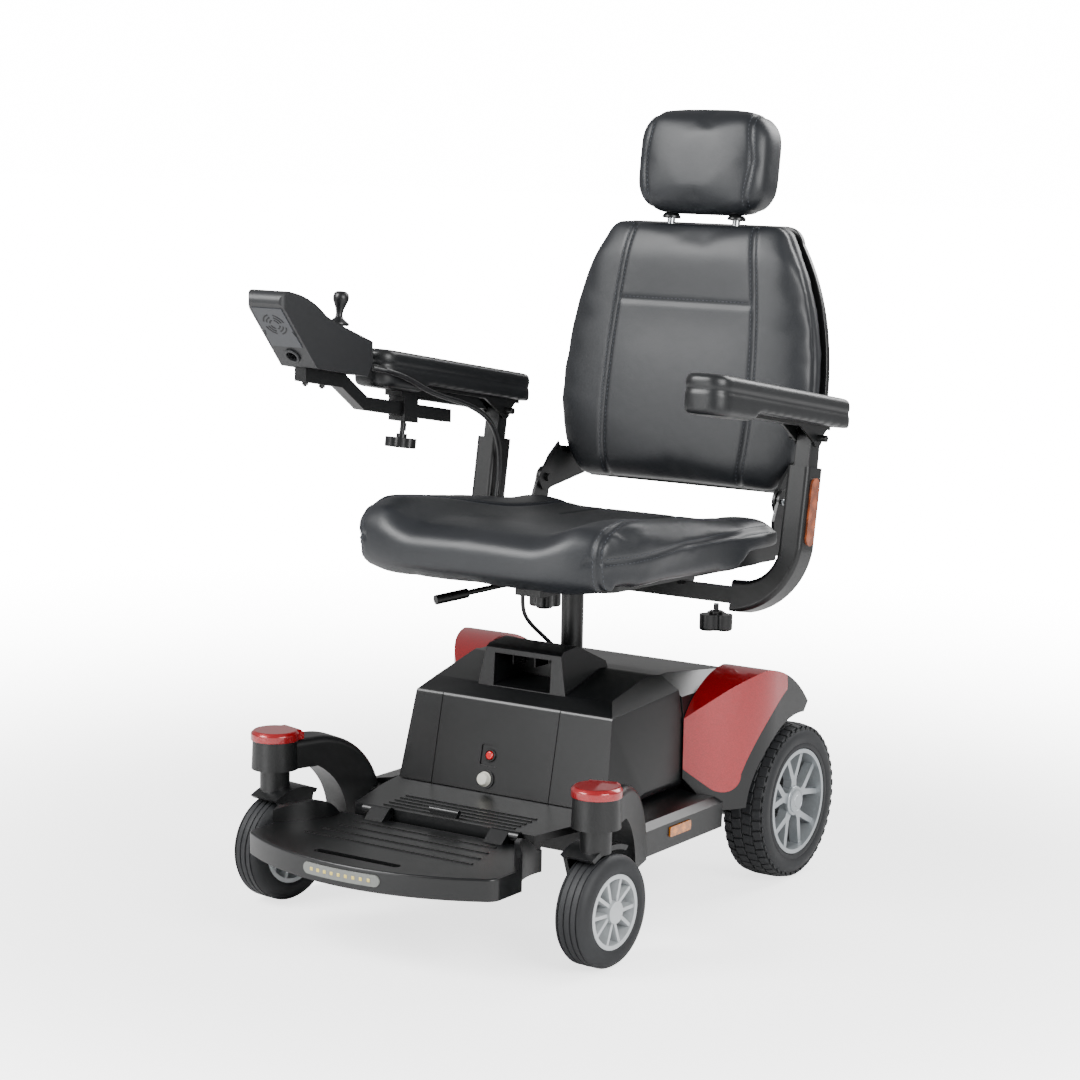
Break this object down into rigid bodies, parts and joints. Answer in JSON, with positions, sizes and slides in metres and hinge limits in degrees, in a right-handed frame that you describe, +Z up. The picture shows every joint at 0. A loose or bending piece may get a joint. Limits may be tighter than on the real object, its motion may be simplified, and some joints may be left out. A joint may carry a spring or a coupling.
{
  "type": "power wheelchair",
  "caption": "Power wheelchair with a padded swivelling seat on a post, folding headed backrest, flip-up arms, arm-mounted joystick, hinged footplate and compact wheeled base.",
  "frame": {"origin": "on the ground, midway between the front of the footplate and the back of the headrest, on the centre plane", "axes": "+Z up, -Y the way the chair faces, +X the occupant's left"},
  "size_m": [0.626, 0.9509, 1.1158],
  "materials": {
    "amber_lens": "ribbed reflector",
    "black_steel": "satin black powder coat",
    "bright_steel": "bright plated steel",
    "cable_sheath": "smooth black sheath",
    "caster_rim_grey": "moulded grey plastic, semi-gloss",
    "clear_lens": "clear moulded lens",
    "controller_shell": "fine textured moulding",
    "gloss_red_panel": "candy red metallic paint under clear coat",
    "orange_reflector": "hatched reflector",
    "pad_skin": "self-skinned polyurethane foam",
    "red_button": "moulded",
    "rim_silver": "silver paint, satin",
    "satin_black_plastic": "satin moulded plastic with a fine grain",
    "upholstery": "smooth black vinyl with stitched seams",
    "wheel_rubber": "solid non-marking rubber"
  },
  "bodies": {
    "base": {"chassis_frame": "black_steel", "rear_shroud": "satin_black_plastic", "fender_left": "satin_black_plastic", "fender_right": "satin_black_plastic", "fender_panel_left": "gloss_red_panel", "fender_panel_right": "gloss_red_panel", "side_skirts": "satin_black_plastic", "side_reflectors": "amber_lens", "caster_arm_left": "black_steel", "caster_arm_right": "black_steel", "caster_caps": "gloss_red_panel", "front_deck": "satin_black_plastic", "deck_latch": "satin_black_plastic", "drive_motors": "black_steel", "post_cable": "cable_sheath"},
    "battery": {"battery_case": "satin_black_plastic", "charge_port": "satin_black_plastic"},
    "reset": {"reset_button": "red_button"},
    "footplate_flip": {"footplate": "satin_black_plastic", "toe_light": "clear_lens"},
    "post": {"seat_post": "black_steel"},
    "seat": {"swivel_head": "black_steel", "seat_pan": "satin_black_plastic", "seat_cushion": "upholstery", "cross_tube": "black_steel", "back_hinges": "black_steel"},
    "lever": {"swivel_lever": "black_steel"},
    "backrest": {"back_cushion": "upholstery", "back_shell": "satin_black_plastic", "back_brackets": "black_steel"},
    "headrest": {"headrest_cushion": "upholstery", "headrest_posts": "bright_steel"},
    "joystick_arm": {"joystick_bar": "black_steel", "joystick_pod": "controller_shell", "joystick_cable": "cable_sheath"},
    "clamp_knob": {"bar_knob": "satin_black_plastic"},
    "gimbal": {"stick_gimbal": "controller_shell"},
    "stick": {"joystick_stick": "controller_shell"},
    "drive_wheel_left": {"drive_tyre_left": "wheel_rubber", "drive_rim_left": "rim_silver"},
    "caster_swivel_left": {"caster_fork_left": "black_steel"},
    "caster_wheel_left": {"caster_tyre_left": "wheel_rubber", "caster_rim_left": "caster_rim_grey"},
    "tube_knob_left": {"arm_knob_left": "satin_black_plastic"},
    "arm_carrier_left": {"arm_receiver_left": "black_steel", "arm_reflector_left": "orange_reflector"},
    "arm_post_left": {"arm_upright_left": "black_steel"},
    "armrest_left": {"arm_pad_left": "pad_skin", "arm_bracket_left": "black_steel"},
    "drive_wheel_right": {"drive_tyre_right": "wheel_rubber", "drive_rim_right": "rim_silver"},
    "caster_swivel_right": {"caster_fork_right": "black_steel"},
    "caster_wheel_right": {"caster_tyre_right": "wheel_rubber", "caster_rim_right": "caster_rim_grey"},
    "tube_knob_right": {"arm_knob_right": "satin_black_plastic"},
    "arm_carrier_right": {"arm_receiver_right": "black_steel", "arm_reflector_right": "orange_reflector"},
    "arm_post_right": {"arm_upright_right": "black_steel"},
    "armrest_right": {"arm_pad_right": "pad_skin", "arm_bracket_right": "black_steel"}
  },
  "joints": [
    {"name": "battery_lift", "type": "slide", "parent": "base", "child": "battery", "axis": [0, -0.2164, 0.9763], "range_m": [0, 0.045]},
    {"name": "reset_press", "type": "slide", "parent": "battery", "child": "reset", "axis": [0, 0.9778, -0.2095], "range_m": [0, 0.002], "stiffness_N_per_m": 300, "springref_m": -0.002},
    {"name": "footplate_fold", "type": "hinge", "parent": "base", "child": "footplate_flip", "pos_m": [0, -0.248, 0.148], "axis": [-1, 0, 0], "range_deg": [0, 85]},
    {"name": "seat_height", "type": "slide", "parent": "base", "child": "post", "axis": [0, 0, 1], "range_m": [0, 0.05], "deforming": ["post_cable"]},
    {"name": "seat_swivel", "type": "hinge", "parent": "post", "child": "seat", "pos_m": [0, 0.073, 0.46], "axis": [0, 0, 1], "continuous": true, "deforming": ["post_cable"]},
    {"name": "lever_lift", "type": "hinge", "parent": "seat", "child": "lever", "pos_m": [-0.046, 0.026, 0.44], "axis": [-1, 0, 0], "range_deg": [0, 8], "stiffness_Nm_per_rad": 0.6, "springref_deg": -17.19},
    {"name": "back_fold", "type": "hinge", "parent": "seat", "child": "backrest", "pos_m": [0, 0.309, 0.549], "axis": [1, 0, 0], "range_deg": [0, 70]},
    {"name": "headrest_height", "type": "slide", "parent": "backrest", "child": "headrest", "axis": [0, 0.1305, 0.9914], "range_m": [0, 0.05]},
    {"name": "drive_spin_left", "type": "hinge", "parent": "base", "child": "drive_wheel_left", "pos_m": [0.239, 0.274, 0.1143], "axis": [1, 0, 0], "continuous": true},
    {"name": "caster_turn_left", "type": "hinge", "parent": "base", "child": "caster_swivel_left", "pos_m": [0.2674, -0.276, 0.2], "axis": [0, 0, 1], "continuous": true},
    {"name": "caster_spin_left", "type": "hinge", "parent": "caster_swivel_left", "child": "caster_wheel_left", "pos_m": [0.26828, -0.26153, 0.0762], "axis": [0.9981, -0.061, 0], "continuous": true},
    {"name": "arm_width_left", "type": "slide", "parent": "seat", "child": "arm_carrier_left", "axis": [1, 0, 0], "range_m": [0, 0.04]},
    {"name": "arm_height_left", "type": "slide", "parent": "arm_carrier_left", "child": "arm_post_left", "axis": [0, 0.1633, 0.9866], "range_m": [0, 0.06]},
    {"name": "arm_fold_left", "type": "hinge", "parent": "arm_post_left", "child": "armrest_left", "pos_m": [0.271, 0.269, 0.652], "axis": [-1, 0, 0], "range_deg": [0, 80]},
    {"name": "knob_turn_left", "type": "hinge", "parent": "seat", "child": "tube_knob_left", "pos_m": [0.15, 0.2281, 0.39], "axis": [0, 0, 1], "continuous": true},
    {"name": "drive_spin_right", "type": "hinge", "parent": "base", "child": "drive_wheel_right", "pos_m": [-0.239, 0.274, 0.1143], "axis": [1, 0, 0], "continuous": true},
    {"name": "caster_turn_right", "type": "hinge", "parent": "base", "child": "caster_swivel_right", "pos_m": [-0.2674, -0.276, 0.2], "axis": [0, 0, 1], "continuous": true},
    {"name": "caster_spin_right", "type": "hinge", "parent": "caster_swivel_right", "child": "caster_wheel_right", "pos_m": [-0.26551, -0.26162, 0.0762], "axis": [0.9914, -0.1305, 0], "continuous": true},
    {"name": "arm_width_right", "type": "slide", "parent": "seat", "child": "arm_carrier_right", "axis": [-1, 0, 0], "range_m": [0, 0.04], "deforming": ["joystick_cable"]},
    {"name": "arm_height_right", "type": "slide", "parent": "arm_carrier_right", "child": "arm_post_right", "axis": [0, 0.1633, 0.9866], "range_m": [0, 0.06], "deforming": ["joystick_cable"]},
    {"name": "arm_fold_right", "type": "hinge", "parent": "arm_post_right", "child": "armrest_right", "pos_m": [-0.271, 0.269, 0.652], "axis": [-1, 0, 0], "range_deg": [0, 80], "deforming": ["joystick_cable"]},
    {"name": "knob_turn_right", "type": "hinge", "parent": "seat", "child": "tube_knob_right", "pos_m": [-0.15, 0.2281, 0.39], "axis": [0, 0, 1], "continuous": true},
    {"name": "joystick_reach", "type": "slide", "parent": "armrest_right", "child": "joystick_arm", "axis": [0, -0.9866, 0.1633], "range_m": [0, 0.05], "deforming": ["joystick_cable"]},
    {"name": "bar_knob_turn", "type": "hinge", "parent": "armrest_right", "child": "clamp_knob", "pos_m": [-0.278, 0.034, 0.6529], "axis": [0, 0.1633, 0.9866], "continuous": true},
    {"name": "stick_pitch", "type": "hinge", "parent": "joystick_arm", "child": "gimbal", "pos_m": [-0.278, -0.126, 0.79], "axis": [1, 0, 0], "range_deg": [-16, 16], "stiffness_Nm_per_rad": 0.3},
    {"name": "stick_roll", "type": "hinge", "parent": "gimbal", "child": "stick", "pos_m": [-0.278, -0.126, 0.79], "axis": [0, 0.9866, -0.1633], "range_deg": [-16, 16], "stiffness_Nm_per_rad": 0.3}
  ]
}
